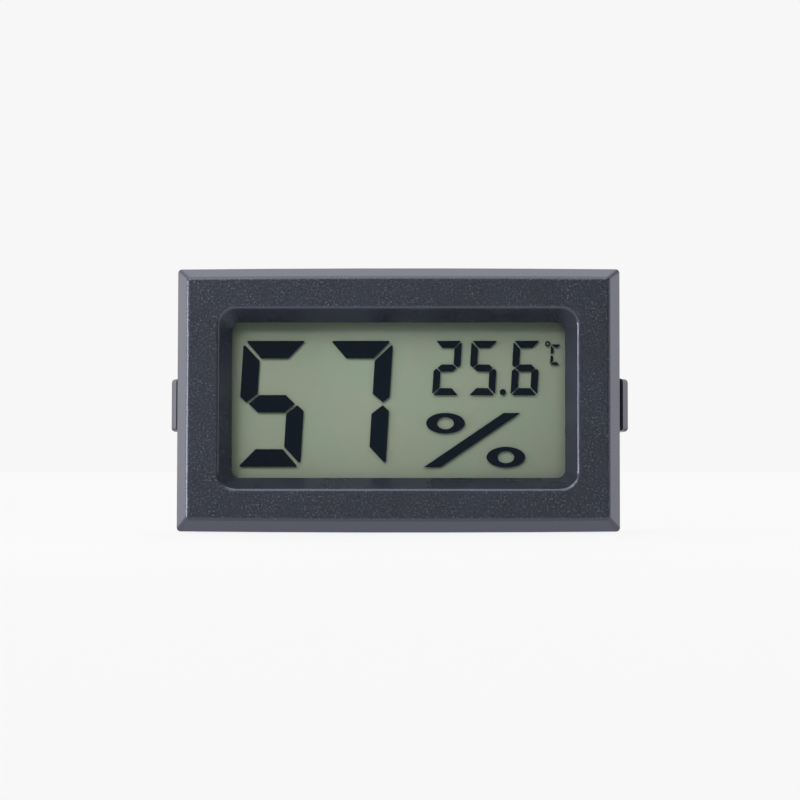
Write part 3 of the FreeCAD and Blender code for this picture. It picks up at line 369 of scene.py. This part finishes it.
print("materials")
paint(makeHousingAbs(), "front_housing", "left_snap_clip", "right_snap_clip")
paint(makeCoverAbs("rearCoverAbs", coverAbs["coverRoughness"]), "rear_cover")
paint(makeCoverAbs("batteryDoorAbs", coverAbs["doorRoughness"]), "battery_door")
paint(makeFigures(), "lcd_segments")
for finishName, finish in metals.items():
    paint(makeMetal(finishName, finish), *finish["pieces"])
for finishName, finish in insides.items():
    paint(makeInside(finishName, finish), *finish["pieces"])

print("display")
makeDisplayWindow()
makeDisplayGround()


floor = {
    "size": 6.0,                            # metres
    "colour": "#3c3c3c", "fibre": "#404040", "fibreSize": 2 * mm,
    "surface": {"Roughness": 0.9, "Specular IOR Level": 0.1},
    "glow": 0.845,                          # light of its own, so that it stays as pale as the backdrop
    "bounce": 0.35,                         # share of it for soft surfaces: real paper lies half in shade
}


def makeFloor():
    # the case leans back on the bezel's lower edge and the cover's lower rear edge
    low = Vector((0, 0, seatZ))
    high = Vector((0, rearFoot[1].y, rearFoot[0].z))
    lean = math.atan2(high.z - low.z, high.y - low.y)
    bpy.ops.object.select_all(action="DESELECT")
    bpy.ops.mesh.primitive_plane_add(size=floor["size"], location=low, rotation=(lean, 0, 0))
    sheet = bpy.context.object
    sheet.name = "studioFloor"
    # matt paper: pale, with no shine and hardly any texture
    material, tree, shader, place = newMaterial("matPaper", floor["surface"])
    fibre = grain(tree, place, floor["fibreSize"], detail=3.0)
    tree.links.new(blendColours(tree, fibre, floor["colour"], floor["fibre"]), shader.inputs["Base Color"])
    shader.inputs["Emission Color"].default_value = linear("#ffffff")
    soft = addNode(tree, "ShaderNodeLightPath").outputs["Is Diffuse Ray"]
    glow = remap(tree, soft, (0.0, 1.0), (floor["glow"], floor["glow"] * floor["bounce"]))
    tree.links.new(glow, shader.inputs["Emission Strength"])
    sheet.data.materials.append(material)


print("floor")
makeFloor()


studio = {
    "backdrop": 0.93,                       # what shows behind the object
    "behind": 0.95, "before": 0.02,         # light from behind the object, and from before it
    "changeOver": (-0.6, 0.6),              # from before to behind, between these
}
# far soft lights: the way each one lies, how wide it looks in degrees and how bright;
# the two narrow glints only draw the bright lines along the rounded edges at the sides
skylights = {
    "leftSky": {"toward": (-0.93, 0.30, 0.15), "spread": 60, "brightness": 0.95, "colour": "#fffaf2"},
    "topSky": {"toward": (-0.05, 0.50, 0.85), "spread": 60, "brightness": 0.43, "colour": "#ffffff"},
    "rightSky": {"toward": (0.88, 0.46, 0.10), "spread": 50, "brightness": 0.62, "colour": "#fff8ee"},
    "frontSky": {"toward": (-0.20, -0.50, 0.84), "spread": 74, "brightness": 1.7, "colour": "#ffffff"},
    "leftGlint": {"toward": (-0.965, -0.26, 0.06), "spread": 10, "brightness": 28.0, "colour": "#ffffff"},
    "rightGlint": {"toward": (0.965, -0.26, 0.06), "spread": 10, "brightness": 3.0, "colour": "#ffffff"},
}
# a softbox close to the left of the face, so the face darkens towards its right
softbox = {"place": (-0.09, -0.11, 0.10), "size": (0.06, 0.09), "brightness": 4.3}


def hangLight(name, light, place):
    # a light that looks back at the object
    holder = bpy.data.objects.new(name, light)
    bpy.context.collection.objects.link(holder)
    holder.location = place
    holder.rotation_mode = "QUATERNION"
    holder.rotation_quaternion = (-place).to_track_quat("-Z", "Y")
    return holder


def makeWorld():
    world = bpy.data.worlds.new("studio")
    bpy.context.scene.world = world
    world.use_nodes = True
    tree = world.node_tree
    tree.nodes.clear()
    direction = addNode(tree, "ShaderNodeTexCoord").outputs["Generated"]
    along = addNode(tree, "ShaderNodeSeparateXYZ", links={0: direction}).outputs[1]
    level = remap(tree, along, studio["changeOver"], (studio["before"], studio["behind"]))
    seen = addNode(tree, "ShaderNodeLightPath").outputs["Is Camera Ray"]
    strength = addNode(tree, "ShaderNodeMix", {"data_type": "FLOAT", 3: studio["backdrop"]},
                       {0: seen, 2: level})
    sky = addNode(tree, "ShaderNodeBackground", {"Color": linear("#ffffff")},
                  {"Strength": strength.outputs[0]})
    addNode(tree, "ShaderNodeOutputWorld", links={"Surface": sky.outputs[0]})


def makeLights():
    for name, sky in skylights.items():
        light = bpy.data.lights.new(name, "SUN")
        light.angle = math.radians(sky["spread"])
        light.energy = sky["brightness"] * math.pi * math.sin(light.angle / 2) ** 2
        light.color = linear(sky["colour"])[:3]
        hangLight(name, light, Vector(sky["toward"]))
    light = bpy.data.lights.new("softbox", "AREA")
    light.shape = "RECTANGLE"
    light.size, light.size_y = softbox["size"]
    light.energy = softbox["brightness"] * math.pi * light.size * light.size_y
    hangLight("softbox", light, Vector(softbox["place"])).visible_camera = False


print("light")
makeWorld()
makeLights()


camera = {
    "azimuth": 1.2, "elevation": -5.5,     # degrees; slightly from the right and from below
    "distance": 0.55, "lens": 228.0,       # metres, and millimetres on a 36 mm sensor
    "aim": (0.17 * mm, 0.0, 0.03 * mm),
    "roll": 0.11,                          # degrees, so that the long edges lie level
    "nearest": 0.01, "farthest": 50,       # metres
}


def makeCamera():
    data = bpy.data.cameras.new("productCamera")
    data.lens = camera["lens"]
    data.clip_start, data.clip_end = camera["nearest"], camera["farthest"]
    holder = bpy.data.objects.new("productCamera", data)
    bpy.context.collection.objects.link(holder)
    turn, lift = math.radians(camera["azimuth"]), math.radians(camera["elevation"])
    back = Vector((math.sin(turn) * math.cos(lift), -math.cos(turn) * math.cos(lift), math.sin(lift)))
    level = (-back).to_track_quat("-Z", "Y")
    holder.location = Vector(camera["aim"]) + back * camera["distance"]
    holder.rotation_mode = "QUATERNION"
    holder.rotation_quaternion = level @ Quaternion((0, 0, 1), math.radians(camera["roll"]))
    bpy.context.scene.camera = holder
    bpy.context.scene.view_settings.view_transform = "Standard"


print("camera")
makeCamera()

print("finished")
